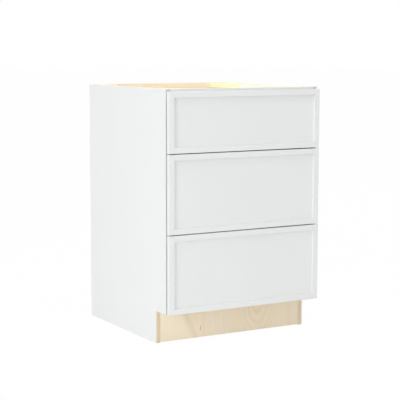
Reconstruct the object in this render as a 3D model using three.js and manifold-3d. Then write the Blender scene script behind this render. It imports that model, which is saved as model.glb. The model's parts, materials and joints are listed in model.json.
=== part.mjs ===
// Base cabinet with three drawers: a plywood box on a recessed toe board, and three dovetailed drawers on
// concealed full-extension runners, each behind a front made of two stiles, two rails and a flat panel.
// Millimetres, +Z up. The fronts face -Y, left and right are those of someone standing in front of them.
import * as THREE from "three";
import { mergeVertices } from "three/addons/utils/BufferGeometryUtils.js";
import Module from "manifold-3d";

// ---- Driving dimensions: the box ----------------------------------------------------------------------
const cabinetWidth = 609.6; // 24 in, over the side panels
const cabinetHeight = 877.9; // 34 9/16 in, floor to the top edge that carries the worktop
const boxDepth = 603.25; // 23 3/4 in, front edge to back edge of the side panels
const panelThickness = 12.7; // 1/2 in plywood of the sides and the bottom
const facingThickness = 4.7625; // 3/16 in painted facing glued to the outside of each side panel
const grooveDepth = 6.35; // how far the bottom and the back are let into the sides
const backThickness = 6.35; // 1/4 in plywood back
const hangingRailThickness = 12.7; // the rails fill the recess behind the back
const hangingRailHeight = 88.9;
const topRailThickness = 19.05; // board on edge that ties the sides together in front, under the worktop
const topRailHeight = 38.1;
const braceThickness = 19.05; // corner braces, which the worktop is screwed to
const braceLeg = 87.3; // 3 7/16 in along each of the two boards that a brace joins
const braceTip = 9.5; // what is left of its sharp ends
const toeHeight = 114.3; // 4 1/2 in toe space
const toeDepth = 76.2; // 3 in, from the front edge of the sides
const toeBoardThickness = 12.7;
const toeBoardSetback = 1.6; // the board stands this far behind the edges of the side panels
const toeBoardFloorGap = 1.6; // and this far off the floor

// ---- Driving dimensions: the drawer fronts ------------------------------------------------------------
const frontThickness = 15.875; // 5/8 in
const frontStandoff = 5.175; // bumpers hold a closed front this far off the box
const frontSideReveal = 1.6; // side panel edge left showing at each side
const frontBottomReveal = 0.8; // box left showing below the bottom front
const frontTopReveal = 8.5; // top rail left showing above the top front
const frontGap = 3.2; // between one front and the next
const deepFrontHeight = 270.6; // the two lower fronts; the top front takes the rest
const frameWidth = 19.85; // face width of the slim stiles and rails
const panelRecess = 7; // the flat panel lies this far behind the face of the frame
const tongueThickness = 5.5;
const tongueDepth = 6; // tongue of the panel, and stub tenon of a rail, in the grooves of the frame
const tongueBackOffset = 2.4; // from the back of the front to the tongue

// ---- Driving dimensions: the drawer boxes -------------------------------------------------------------
const drawerRearClearance = 55.975; // behind the drawer boxes, which leaves them 533.4 mm, or 21 in, long
const drawerSideClearance = 5; // drawer side to side panel
const boardThickness = 15.875; // 5/8 in solid boards
const drawerRise = 28; // bottom of the front to the bottom of its drawer box
const drawerHeadroom = 38.8; // top of the drawer box to the top of its front
const drawerBottomThickness = 6.35;
const drawerBottomRecess = 12.7; // underside of the drawer bottom above the bottom edge of the sides
const drawerGrooveDepth = 6.35;
const tailPitch = 25.4; // nominal spacing of the dovetails
const tailShare = 0.66; // width of a tail at its wide end, as a share of the spacing
const tailSlope = 1 / 7;
const tailClearance = 0.12; // glue line on each sloping cheek

// ---- Driving dimensions: the runners ------------------------------------------------------------------
const steelThickness = 1.5;
const runnerSetback = 3; // box front edge to the end of the fixed member
const runnerFlangeHeight = 33; // flange that is screwed to the side panel
const runnerUpstand = 10;
const runnerDrop = 13; // underside of the fixed member below the drawer box
const runnerSideOffset = 4.125; // inner face of the drawer side to the drawer member
const runnerWidth = 22; // over the walls of the drawer member
const runnerWallDepth = 20.7; // height of the drawer member
const runningGap = 0.3; // between members where the load passes
const rollerGap = 1.5; // between the side walls of two members
const upstandGap = 2;
const carriageClearance = 2; // front board of the drawer to the carriage behind it
const carriageShortening = 63.4; // the carriage is this much shorter than the drawer box
const clipLength = 30; // room for the locking clip in front of the drawer member
const notchClearance = 1; // notch in the drawer back, each side of the drawer member

// ---- Planes and levels that several pieces share ------------------------------------------------------
const sideOuter = cabinetWidth / 2;
const sideInner = sideOuter - facingThickness - panelThickness;
const backRear = boxDepth - hangingRailThickness;
const backFront = backRear - backThickness;
const bottomTop = toeHeight + panelThickness;
const frontBack = -frontStandoff;
const frontFace = frontBack - frontThickness;
const frontHalfWidth = sideOuter - frontSideReveal;
const frontsTop = cabinetHeight - frontTopReveal;
const drawerHalfWidth = sideInner - drawerSideClearance;
const drawerInner = drawerHalfWidth - boardThickness;
const drawerRear = backFront - drawerRearClearance;
const drawerLength = drawerRear - frontBack;

// ---- Materials ----------------------------------------------------------------------------------------
const finish = (color, roughness, metalness = 0) =>
  new THREE.MeshStandardMaterial({ color, roughness, metalness, flatShading: true });
const paintedWhite = finish(0xe9ebea, 0.45);
const plywood = finish(0xecd5b0, 0.6);
const rawPlywood = finish(0xe0cba9, 0.75);
const maple = finish(0xeed9b4, 0.5);
const steel = finish(0xb9bdc1, 0.35, 0.9);

// ---- Solids -------------------------------------------------------------------------------------------
const wasm = await Module();
wasm.setup();

// Every corner lies on one fine binary grid, so that faces which meet share exactly the same plane.
const gridStep = 1 / 512;
const snap = (value) => Math.round(value / gridStep) * gridStep;
const joined = 1e-4; // corners closer than this are one corner

function solidOf(geometry) {
  geometry.deleteAttribute("normal");
  geometry.deleteAttribute("uv");
  const merged = mergeVertices(geometry, joined);
  const vertProperties = new Float32Array(merged.getAttribute("position").array);
  const triVerts = new Uint32Array(merged.index.array);
  return new wasm.Manifold(new wasm.Mesh({ numProp: 3, vertProperties, triVerts }));
}

// A rectangular board, by its lowest and highest x, y and z.
function board([x0, x1], [y0, y1], [z0, z1]) {
  const low = new THREE.Vector3(x0, y0, z0).toArray().map(snap);
  const high = new THREE.Vector3(x1, y1, z1).toArray().map(snap);
  const size = high.map((value, i) => value - low[i]);
  const centre = high.map((value, i) => (value + low[i]) / 2);
  return solidOf(new THREE.BoxGeometry(...size).translate(...centre));
}

function outlineShape(points) {
  return new THREE.Shape(points.map(([a, b]) => new THREE.Vector2(snap(a), snap(b))));
}

const axisX = new THREE.Vector3(1, 0, 0);
const axisY = new THREE.Vector3(0, 1, 0);
const axisZ = new THREE.Vector3(0, 0, 1);

// An outline of [y, z] points, extruded along x.
function extrudeX(points, [x0, x1]) {
  const geometry = new THREE.ExtrudeGeometry(outlineShape(points), {
    depth: snap(x1) - snap(x0),
    bevelEnabled: false,
  });
  geometry.applyMatrix4(new THREE.Matrix4().makeBasis(axisY, axisZ, axisX));
  return solidOf(geometry.translate(snap(x0), 0, 0));
}

// An outline of [x, z] points, extruded along y.
function extrudeY(points, [y0, y1]) {
  const geometry = new THREE.ExtrudeGeometry(outlineShape(points.map(([x, z]) => [z, x])), {
    depth: snap(y1) - snap(y0),
    bevelEnabled: false,
  });
  geometry.applyMatrix4(new THREE.Matrix4().makeBasis(axisZ, axisX, axisY));
  return solidOf(geometry.translate(0, snap(y0), 0));
}

// An outline of [x, y] points, extruded along z.
function extrudeZ(points, [z0, z1]) {
  const geometry = new THREE.ExtrudeGeometry(outlineShape(points), {
    depth: snap(z1) - snap(z0),
    bevelEnabled: false,
  });
  return solidOf(geometry.translate(0, 0, snap(z0)));
}

// Adds a solid to a group as a named mesh, with its own origin at the middle of its box.
function addPiece(group, name, solid, material) {
  const { vertProperties, triVerts } = solid.getMesh();
  const geometry = new THREE.BufferGeometry();
  const positions = new THREE.BufferAttribute(Float32Array.from(vertProperties, snap), 3);
  geometry.setAttribute("position", positions);
  geometry.setIndex(new THREE.BufferAttribute(new Uint32Array(triVerts), 1));
  geometry.computeBoundingBox();
  const centre = geometry.boundingBox.getCenter(new THREE.Vector3());
  geometry.translate(-centre.x, -centre.y, -centre.z);
  geometry.computeVertexNormals();
  const mesh = new THREE.Mesh(geometry, material);
  mesh.name = name;
  mesh.position.copy(centre);
  group.add(mesh);
}

const hands = [
  { hand: "left", sign: -1 },
  { hand: "right", sign: 1 },
];
// The x range between two distances from the middle, on the given side of it.
const across = (sign, near, far) => (sign < 0 ? [-far, -near] : [near, far]);

// ---- The box ------------------------------------------------------------------------------------------
function buildBox() {
  const box = new THREE.Group();
  const grooved = [-(sideInner + grooveDepth), sideInner + grooveDepth];
  const between = [-sideInner, sideInner];
  const bottom = board(grooved, [0, backFront], [toeHeight, bottomTop]);
  const back = board(grooved, [backFront, backRear], [toeHeight, cabinetHeight]);
  const sideOutline = [
    [toeDepth, 0],
    [boxDepth, 0],
    [boxDepth, cabinetHeight],
    [0, cabinetHeight],
    [0, toeHeight],
    [toeDepth, toeHeight],
  ];
  for (const { hand, sign } of hands) {
    const side = extrudeX(sideOutline, across(sign, sideInner, sideOuter));
    addPiece(box, `side_panel_${hand}`, side.subtract(bottom).subtract(back), paintedWhite);
  }
  addPiece(box, "bottom_panel", bottom, plywood);
  addPiece(box, "back_panel", back, plywood);

  const toeBoardFront = toeDepth + toeBoardSetback;
  const toeBoardRange = [toeBoardFront, toeBoardFront + toeBoardThickness];
  addPiece(box, "toe_kick_board", board(between, toeBoardRange, [toeBoardFloorGap, toeHeight]), rawPlywood);

  const topRail = board(between, [0, topRailThickness], [cabinetHeight - topRailHeight, cabinetHeight]);
  addPiece(box, "top_rail_front", topRail, plywood);
  const braceEnds = [
    { end: "front", face: topRailThickness, inward: 1 },
    { end: "back", face: backFront, inward: -1 },
  ];
  for (const { end, face, inward } of braceEnds) {
    for (const { hand, sign } of hands) {
      const outline = [
        [0, 0],
        [braceLeg, 0],
        [braceLeg, braceTip],
        [braceTip, braceLeg],
        [0, braceLeg],
      ].map(([a, b]) => [sign * (sideInner - a), face + inward * b]);
      const brace = extrudeZ(outline, [cabinetHeight - braceThickness, cabinetHeight]);
      addPiece(box, `corner_brace_${end}_${hand}`, brace, maple);
    }
  }

  const railRange = [backRear, boxDepth];
  const topLevels = [cabinetHeight - hangingRailHeight, cabinetHeight];
  const bottomLevels = [toeHeight, toeHeight + hangingRailHeight];
  addPiece(box, "hanging_rail_top", board(between, railRange, topLevels), rawPlywood);
  addPiece(box, "hanging_rail_bottom", board(between, railRange, bottomLevels), rawPlywood);
  return box;
}

// ---- A drawer front: two stiles and two rails, grooved round a flat panel ------------------------------
function buildFront(tier, frontBottom, frontTop) {
  const front = new THREE.Group();
  const full = [frontFace, frontBack];
  const tongueRange = [frontBack - tongueBackOffset - tongueThickness, frontBack - tongueBackOffset];
  const stileInner = frontHalfWidth - frameWidth;
  const railTop = frontBottom + frameWidth;
  const railUnderside = frontTop - frameWidth;
  const panelWidth = [-stileInner, stileInner];
  const grooveWidth = [-(stileInner + tongueDepth), stileInner + tongueDepth];
  const tongue = board(grooveWidth, tongueRange, [railTop - tongueDepth, railUnderside + tongueDepth]);

  for (const { hand, sign } of hands) {
    const stile = board(across(sign, stileInner, frontHalfWidth), full, [frontBottom, frontTop]);
    const groove = board(across(sign, stileInner, stileInner + tongueDepth), tongueRange, [
      frontBottom,
      frontTop,
    ]);
    addPiece(front, `${tier}_front_stile_${hand}`, stile.subtract(groove), paintedWhite);
  }
  const railLevels = { bottom: [frontBottom, railTop], top: [railUnderside, frontTop] };
  for (const [place, levels] of Object.entries(railLevels)) {
    const rail = board(panelWidth, full, levels).add(board(grooveWidth, tongueRange, levels));
    addPiece(front, `${tier}_front_rail_${place}`, rail.subtract(tongue), paintedWhite);
  }
  const panel = board(panelWidth, [frontFace + panelRecess, frontBack], [railTop, railUnderside]);
  addPiece(front, `${tier}_front_panel`, panel.add(tongue), paintedWhite);
  return front;
}

// ---- A drawer box: dovetailed boards round a plywood bottom in grooves --------------------------------

// Places of the dovetails up a corner: tails are cut in the side boards, pins stay between them.
function tailCentres(boxBottom, boxTop) {
  const count = Math.max(2, Math.round((boxTop - boxBottom) / tailPitch));
  const pitch = (boxTop - boxBottom) / count;
  const centres = Array.from({ length: count }, (_, i) => boxBottom + (i + 0.5) * pitch);
  return { centres, pitch };
}

// Outline of a side board, as [y, z] points: up the front end and down the rear end round the tails.
function sideBoardOutline(boxBottom, boxTop) {
  const { centres, pitch } = tailCentres(boxBottom, boxTop);
  const wide = (pitch * tailShare) / 2 - tailClearance;
  const narrow = wide - boardThickness * tailSlope;
  const end = (tip, shoulder, levels) =>
    levels.flatMap((z) => {
      const rising = levels[1] > levels[0] ? 1 : -1;
      return [
        [shoulder, z - rising * narrow],
        [tip, z - rising * wide],
        [tip, z + rising * wide],
        [shoulder, z + rising * narrow],
      ];
    });
  const frontShoulder = frontBack + boardThickness;
  const rearShoulder = drawerRear - boardThickness;
  return [
    [frontShoulder, boxBottom],
    ...end(frontBack, frontShoulder, centres),
    [frontShoulder, boxTop],
    [rearShoulder, boxTop],
    ...end(drawerRear, rearShoulder, centres.toReversed()),
    [rearShoulder, boxBottom],
  ];
}

// Sockets for the tails at one end of a front or back board: tip is its outer face, inward points inside.
function tailSockets(tip, inward, boxBottom, boxTop) {
  const { centres, pitch } = tailCentres(boxBottom, boxTop);
  const wide = (pitch * tailShare) / 2;
  const past = 1; // the cutter runs on past both faces
  const widest = wide + past * tailSlope;
  const narrowest = wide - (boardThickness + past) * tailSlope;
  const near = tip - inward * past;
  const far = tip + inward * (boardThickness + past);
  const sockets = centres.flatMap((z) =>
    hands.map(({ sign }) =>
      extrudeX(
        [
          [near, z - widest],
          [near, z + widest],
          [far, z + narrowest],
          [far, z - narrowest],
        ],
        across(sign, drawerInner, drawerHalfWidth + past),
      ),
    ),
  );
  return sockets.reduce((all, socket) => all.add(socket));
}

function buildDrawerBox(tier, boxBottom, boxTop) {
  const drawer = new THREE.Group();
  const full = [-drawerHalfWidth, drawerHalfWidth];
  const levels = [boxBottom, boxTop];
  const frontShoulder = frontBack + boardThickness;
  const rearShoulder = drawerRear - boardThickness;
  const bottomUnderside = boxBottom + drawerBottomRecess;
  const bottom = board(
    [-(drawerInner + drawerGrooveDepth), drawerInner + drawerGrooveDepth],
    [frontShoulder - drawerGrooveDepth, rearShoulder + drawerGrooveDepth],
    [bottomUnderside, bottomUnderside + drawerBottomThickness],
  );
  for (const { hand, sign } of hands) {
    const side = extrudeX(sideBoardOutline(boxBottom, boxTop), across(sign, drawerInner, drawerHalfWidth));
    addPiece(drawer, `${tier}_drawer_side_${hand}`, side.subtract(bottom), maple);
  }
  const frontBoard = board(full, [frontBack, frontShoulder], levels)
    .subtract(tailSockets(frontBack, 1, boxBottom, boxTop))
    .subtract(bottom);
  addPiece(drawer, `${tier}_drawer_front_board`, frontBoard, maple);

  let backBoard = board(full, [rearShoulder, drawerRear], levels)
    .subtract(tailSockets(drawerRear, -1, boxBottom, boxTop))
    .subtract(bottom);
  const past = 1;
  const notchOuter = drawerInner - runnerSideOffset + notchClearance;
  const notchInner = drawerInner - runnerSideOffset - runnerWidth - notchClearance;
  for (const { sign } of hands) {
    const notch = board(
      across(sign, notchInner, notchOuter),
      [rearShoulder - past, drawerRear + past],
      [boxBottom - past, bottomUnderside],
    );
    backBoard = backBoard.subtract(notch);
  }
  addPiece(drawer, `${tier}_drawer_back_board`, backBoard, maple);
  addPiece(drawer, `${tier}_drawer_bottom`, bottom, plywood);
  return drawer;
}

// ---- Runners: a fixed member on the side panel, a carriage and a member under the drawer --------------

// Sections of the three members of one runner, as [distance from the side panel, z] points.
function runnerSections(boxBottom) {
  const underside = boxBottom - runnerDrop;
  const web = underside + steelThickness;
  const drawerOuter = drawerSideClearance + boardThickness + runnerSideOffset;
  const drawerInnerWall = drawerOuter + runnerWidth;
  const upstandFace = drawerInnerWall + upstandGap;
  const fixedEnd = upstandFace + steelThickness;
  const upstandTop = underside + runnerUpstand;
  const fixed = [
    [0, underside],
    [fixedEnd, underside],
    [fixedEnd, upstandTop],
    [upstandFace, upstandTop],
    [upstandFace, web],
    [steelThickness, web],
    [steelThickness, underside + runnerFlangeHeight],
    [0, underside + runnerFlangeHeight],
  ];
  const crown = boxBottom + drawerBottomRecess;
  const skirt = crown - runnerWallDepth;
  const crownUnderside = crown - steelThickness;
  const drawer = [
    [drawerOuter, skirt],
    [drawerOuter + steelThickness, skirt],
    [drawerOuter + steelThickness, crownUnderside],
    [drawerInnerWall - steelThickness, crownUnderside],
    [drawerInnerWall - steelThickness, skirt],
    [drawerInnerWall, skirt],
    [drawerInnerWall, crown],
    [drawerOuter, crown],
  ];
  const near = drawerOuter + steelThickness + rollerGap;
  const far = drawerInnerWall - steelThickness - rollerGap;
  const floor = web + runningGap;
  const rim = crownUnderside - runningGap;
  const carriage = [
    [near, floor],
    [far, floor],
    [far, rim],
    [far - steelThickness, rim],
    [far - steelThickness, floor + steelThickness],
    [near + steelThickness, floor + steelThickness],
    [near + steelThickness, rim],
    [near, rim],
  ];
  return { fixed, carriage, drawer };
}

function buildRunners(tier, boxBottom) {
  const runners = new THREE.Group();
  const frontShoulder = frontBack + boardThickness;
  const carriageFront = frontShoulder + carriageClearance;
  const ranges = {
    fixed: [runnerSetback, runnerSetback + drawerLength],
    carriage: [carriageFront, carriageFront + drawerLength - carriageShortening],
    drawer: [frontShoulder + clipLength, drawerRear],
  };
  for (const [member, section] of Object.entries(runnerSections(boxBottom))) {
    for (const { hand, sign } of hands) {
      const placed = section.map(([inward, z]) => [sign * (sideInner - inward), z]);
      const name = `${tier}_runner_${member}_${hand}`;
      addPiece(runners, name, extrudeY(placed, ranges[member]), steel);
    }
  }
  return runners;
}

// ---- Assembly -----------------------------------------------------------------------------------------
const assembly = new THREE.Group();
assembly.add(buildBox());

const lowerFrontBottom = toeHeight + frontBottomReveal;
const middleFrontBottom = lowerFrontBottom + deepFrontHeight + frontGap;
const topFrontBottom = middleFrontBottom + deepFrontHeight + frontGap;
const tiers = [
  { tier: "bottom", low: lowerFrontBottom, high: lowerFrontBottom + deepFrontHeight },
  { tier: "middle", low: middleFrontBottom, high: middleFrontBottom + deepFrontHeight },
  { tier: "top", low: topFrontBottom, high: frontsTop },
];
for (const { tier, low, high } of tiers) {
  const boxBottom = low + drawerRise;
  assembly.add(buildFront(tier, low, high));
  assembly.add(buildDrawerBox(tier, boxBottom, high - drawerHeadroom));
  assembly.add(buildRunners(tier, boxBottom));
}

// The origin is on the floor, in the middle of the whole: half way from the faces of the fronts to the back.
assembly.position.y = -snap((frontFace + boxDepth) / 2);
const baseCabinet = new THREE.Group();
baseCabinet.name = "base_cabinet_with_drawers";
baseCabinet.add(assembly);

export default baseCabinet;
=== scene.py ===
"""Looks of a base cabinet with three drawers: a painted plywood box on a bare toe board, slim
framed fronts, dovetailed maple drawers and zinc-plated runners. Metres, +Z up, fronts face -Y."""
import json
import math

import bmesh
import bpy
from mathutils import Euler, Matrix, Vector

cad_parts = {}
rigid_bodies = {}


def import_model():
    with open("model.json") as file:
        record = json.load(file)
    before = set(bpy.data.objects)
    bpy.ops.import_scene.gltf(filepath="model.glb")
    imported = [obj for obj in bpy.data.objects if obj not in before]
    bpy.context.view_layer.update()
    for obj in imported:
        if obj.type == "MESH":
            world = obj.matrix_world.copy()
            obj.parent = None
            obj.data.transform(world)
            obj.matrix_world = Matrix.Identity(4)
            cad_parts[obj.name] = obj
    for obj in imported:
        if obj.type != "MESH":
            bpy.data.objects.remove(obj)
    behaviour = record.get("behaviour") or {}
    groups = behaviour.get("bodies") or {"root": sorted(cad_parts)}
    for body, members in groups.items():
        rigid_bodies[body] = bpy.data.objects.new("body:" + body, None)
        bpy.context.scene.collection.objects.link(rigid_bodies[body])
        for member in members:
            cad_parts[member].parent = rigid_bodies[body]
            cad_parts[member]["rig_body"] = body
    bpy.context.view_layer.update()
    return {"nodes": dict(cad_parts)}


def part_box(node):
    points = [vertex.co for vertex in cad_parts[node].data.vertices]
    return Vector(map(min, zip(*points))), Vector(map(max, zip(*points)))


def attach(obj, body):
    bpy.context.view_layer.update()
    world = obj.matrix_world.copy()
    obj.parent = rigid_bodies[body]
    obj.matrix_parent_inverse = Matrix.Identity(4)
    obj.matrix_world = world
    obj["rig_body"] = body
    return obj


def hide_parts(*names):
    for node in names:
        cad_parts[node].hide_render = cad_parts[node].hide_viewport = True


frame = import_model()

MM = 0.001
TIERS = ("top", "middle", "bottom")
HANDS = {"left": -1, "right": 1}

# ---- Easing of edges -----------------------------------------------------------------------------
WELD = 1e-6  # points closer than this are one
FLAT = math.radians(0.5)  # faces that turn less than this are one face
SHARP = math.radians(20)  # edges that turn more than this are eased
CORNER_STEPS = 3  # faces round an eased edge
SQUARE_ON = 0.9  # a face looks along an axis when its normal has this share on it

FRONT_ARRIS = 1.1 * MM  # outer edges of the fronts, sanded round before painting
PANEL_ARRIS = 0.3 * MM  # edges of the frame beside the panel
JOINT_ARRIS = 0.12 * MM  # where a stile meets a rail
BOARD_ARRIS = 1.4 * MM  # top and bottom edges of the drawer boards
SAWN_ARRIS = 0.35 * MM  # sawn plywood
TAIL_ARRIS = 0.15 * MM  # dovetails, only cleaned up
BEND_ARRIS = 0.5 * MM  # folded steel

# ---- Places worked out from the frame ------------------------------------------------------------
BOX_LOW, BOX_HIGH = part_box("side_panel_left")
SIDE_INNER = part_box("side_panel_right")[0].x
SIDE_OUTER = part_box("side_panel_right")[1].x
FACING = 4.7625 * MM  # painted facing glued to the outside of each side panel
GLUE_PLANE = SIDE_OUTER - FACING  # between the plywood and its facing
BOX_FRONT = BOX_LOW.y
BOX_TOP = BOX_HIGH.z
HAIR = 0.05 * MM  # how far apart two planes still count as one
BRACE_DROP = 0.25 * MM  # corner braces below the top edges of the box
PLIES, BACK_PLIES, TOP_RAIL_PLIES = 9, 5, 13  # layers in the plywood
UP, OUT, BACK, ACROSS = Vector((0, 0, 1)), Vector((0, -1, 0)), Vector((0, 1, 0)), Vector((1, 0, 0))


# ---- Node trees ----------------------------------------------------------------------------------
class Tree:
    """Adds nodes to a tree. A value is a number, a colour or another node's output."""

    def __init__(self, tree):
        self.tree = tree

    def add(self, kind, inputs=None, **settings):
        node = self.tree.nodes.new(kind)
        for name, value in settings.items():
            setattr(node, name, value)
        self.fill(node, inputs or {})
        return node

    def fill(self, node, inputs):
        for name, value in inputs.items():
            if isinstance(value, bpy.types.NodeSocket):
                self.tree.links.new(value, node.inputs[name])
            else:
                node.inputs[name].default_value = value

    def maths(self, operation, a, b=0.0, c=0.0, clamp=False):
        node = self.add("ShaderNodeMath", {0: a, 1: b, 2: c}, operation=operation, use_clamp=clamp)
        return node.outputs[0]

    def vector(self, operation, a, b, c=(0.0, 0.0, 0.0)):
        return self.add("ShaderNodeVectorMath", {0: a, 1: b, 2: c}, operation=operation).outputs[0]

    def noise(self, place, scale, detail=2.0, roughness=0.5):
        inputs = {"Vector": place, "Scale": scale, "Detail": detail, "Roughness": roughness}
        return self.add("ShaderNodeTexNoise", inputs).outputs["Fac"]

    def between(self, value, low, high, start=0.0, end=1.0):
        inputs = {"Value": value, "From Min": low, "From Max": high, "To Min": start, "To Max": end}
        return self.add("ShaderNodeMapRange", inputs, clamp=True).outputs["Result"]

    def mix(self, share, a, b):
        """Colour a, with a share of colour b."""
        return self.add("ShaderNodeMix", {0: share, 6: a, 7: b}, data_type="RGBA").outputs[2]

    def away_from(self, value, middle):
        return self.maths("ABSOLUTE", self.maths("SUBTRACT", value, middle))

    def swing(self, rings):
        """0 in the middle of each ring and 0.5 where one ring meets the next."""
        return self.away_from(self.maths("FRACT", rings), 0.5)


def make_group(name, kind, inputs, outputs):
    """An empty node group with named sockets, as (group, tree, its inputs, its output node)."""
    group = bpy.data.node_groups.new(name, kind)
    for label, socket, value in inputs:
        made = group.interface.new_socket(label, in_out="INPUT", socket_type=socket)
        if value is not None:
            made.default_value = value
    for label, socket in outputs:
        group.interface.new_socket(label, in_out="OUTPUT", socket_type=socket)
    entry = group.nodes.new("NodeGroupInput")
    leaving = group.nodes.new("NodeGroupOutput")
    return group, Tree(group), entry.outputs, leaving


def hand_out(tree, leaving, **values):
    for name, value in values.items():
        tree.tree.links.new(value, leaving.inputs[name])


def rgb(red, green, blue):
    """A colour as it looks on a screen, 0 to 255, made linear."""
    def linear(level):
        share = level / 255
        return share / 12.92 if share <= 0.04045 else ((share + 0.055) / 1.055) ** 2.4
    return (linear(red), linear(green), linear(blue), 1.0)


FLOAT, VECTOR, COLOUR = "NodeSocketFloat", "NodeSocketVector", "NodeSocketColor"


def maple_figure_group():
    """Maple grain: faint rings, fibres, streaks and small flecks, drawn out along one axis."""
    group, tree, given, leaving = make_group(
        "maple figure",
        "ShaderNodeTree",
        [
            ("Place", VECTOR, None),
            ("Along", VECTOR, (0.0, 0.0, 1.0)),
            ("Pale", COLOUR, rgb(238, 220, 186)),
            ("Dark", COLOUR, rgb(214, 186, 146)),
            ("Ring Field", FLOAT, 0.0),
            ("Rings", FLOAT, 24.0),
            ("Figure", FLOAT, 0.4),
            ("Flecks", FLOAT, 0.3),
        ],
        [("Colour", COLOUR), ("Relief", FLOAT)],
    )
    length = tree.vector("MULTIPLY", given["Place"], given["Along"])

    def drawn(share):
        """The place with its distances along the grain shortened to a share."""
        return tree.vector("MULTIPLY_ADD", length, (share - 1.0,) * 3, given["Place"])

    warp = tree.noise(drawn(0.2), 4.5, 2.0, 0.35)
    ring = tree.maths("MULTIPLY_ADD", warp, given["Rings"], given["Ring Field"])
    late_wood = tree.maths("POWER", tree.maths("MULTIPLY", tree.swing(ring), 2.0), 5.0)
    fibre = tree.noise(drawn(0.03), 850.0, 2.0, 0.6)
    streak = tree.noise(drawn(0.04), 130.0, 3.0, 0.6)
    fleck = tree.between(tree.noise(drawn(0.25), 520.0, 1.0), 0.62, 0.74)
    cloud = tree.noise(drawn(0.4), 9.0, 2.0)
    body = tree.maths("MULTIPLY_ADD", late_wood, 0.3, tree.maths("MULTIPLY", streak, 0.8))
    body = tree.maths("MULTIPLY_ADD", fibre, 0.3, body)
    body = tree.maths("MULTIPLY_ADD", cloud, 0.5, body)
    mask = tree.maths("MULTIPLY", tree.between(body, 0.5, 1.35), given["Figure"])
    mask = tree.maths("MULTIPLY_ADD", fleck, given["Flecks"], mask, clamp=True)
    relief = tree.maths("MULTIPLY_ADD", fibre, 0.6, tree.maths("MULTIPLY", fleck, -0.8))
    hand_out(tree, leaving, Colour=tree.mix(mask, given["Pale"], given["Dark"]), Relief=relief)
    return group


def ply_layers_group():
    """The sawn edge of plywood: plies with the grain along and across by turns, and glue lines."""
    group, tree, given, leaving = make_group(
        "ply layers",
        "ShaderNodeTree",
        [
            ("Place", VECTOR, None),
            ("Across", FLOAT, 0.0),
            ("Plies", FLOAT, 9.0),
            ("Pale", COLOUR, rgb(236, 216, 182)),
            ("Dark", COLOUR, rgb(206, 178, 140)),
            ("Glue", COLOUR, rgb(170, 138, 100)),
        ],
        [("Colour", COLOUR), ("Relief", FLOAT)],
    )
    wander = tree.maths("SUBTRACT", tree.noise(given["Place"], 30.0), 0.5)
    depth = tree.maths("MULTIPLY", given["Across"], given["Plies"])
    depth = tree.maths("ADD", depth, tree.maths("MULTIPLY", wander, 0.12))
    turn = tree.maths("MODULO", tree.maths("FLOOR", depth), 2.0)
    glue = tree.between(tree.swing(depth), 0.44, 0.48)
    pores = tree.noise(given["Place"], 1600.0, 2.0, 0.7)
    torn = tree.noise(given["Place"], 260.0, 3.0, 0.6)
    shade = tree.maths("MULTIPLY_ADD", turn, 0.45, tree.maths("MULTIPLY", pores, 0.35))
    shade = tree.maths("MULTIPLY_ADD", torn, 0.3, shade)
    wood = tree.mix(tree.between(shade, 0.2, 1.0), given["Pale"], given["Dark"])
    colour = tree.mix(tree.maths("MULTIPLY", glue, 0.5), wood, given["Glue"])
    relief = tree.maths("MULTIPLY_ADD", turn, -0.4, tree.maths("SUBTRACT", torn, glue))
    hand_out(tree, leaving, Colour=colour, Relief=relief)
    return group


def end_grain_group():
    """The sawn end of a solid board: curved rings and open pores."""
    group, tree, given, leaving = make_group(
        "end grain",
        "ShaderNodeTree",
        [
            ("Place", VECTOR, None),
            ("Pale", COLOUR, rgb(224, 196, 154)),
            ("Dark", COLOUR, rgb(188, 154, 110)),
        ],
        [("Colour", COLOUR), ("Relief", FLOAT)],
    )
    warp = tree.noise(given["Place"], 6.0, 1.0)
    rings = tree.maths("FRACT", tree.maths("MULTIPLY", warp, 42.0))
    pores = tree.between(tree.noise(given["Place"], 1900.0, 1.0), 0.52, 0.7)
    open_wood = tree.maths("MULTIPLY", pores, 0.4)
    shade = tree.maths("MULTIPLY_ADD", tree.maths("POWER", rings, 3.0), 0.4, open_wood)
    colour = tree.mix(tree.maths("ADD", shade, 0.15, clamp=True), given["Pale"], given["Dark"])
    hand_out(tree, leaving, Colour=colour, Relief=tree.maths("MULTIPLY", pores, -1.0))
    return group


def paint_film_group():
    """Sprayed satin paint: a little uneven in tone and gloss, with the fine ripple of the spray."""
    group, tree, given, leaving = make_group(
        "paint film",
        "ShaderNodeTree",
        [
            ("Place", VECTOR, None),
            ("Paint", COLOUR, rgb(240, 242, 241)),
            ("Unevenness", FLOAT, 0.02),
            ("Satin", FLOAT, 0.42),
        ],
        [("Colour", COLOUR), ("Roughness", FLOAT), ("Relief", FLOAT)],
    )
    slow = tree.noise(given["Place"], 4.0, 3.0)
    specks = tree.noise(given["Place"], 90.0, 2.0)
    ripple = tree.noise(given["Place"], 900.0, 2.0)
    tone = tree.maths("MULTIPLY_ADD", specks, 0.3, tree.maths("MULTIPLY", slow, 0.7))
    dip = tree.maths("MULTIPLY", tree.between(tone, 0.3, 0.7), given["Unevenness"])
    shaded = tree.mix(dip, given["Paint"], rgb(150, 152, 150))
    gloss = tree.maths("MULTIPLY_ADD", tree.maths("SUBTRACT", specks, 0.5), 0.12, given["Satin"])
    hand_out(tree, leaving, Colour=shaded, Roughness=gloss, Relief=ripple)
    return group


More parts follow.
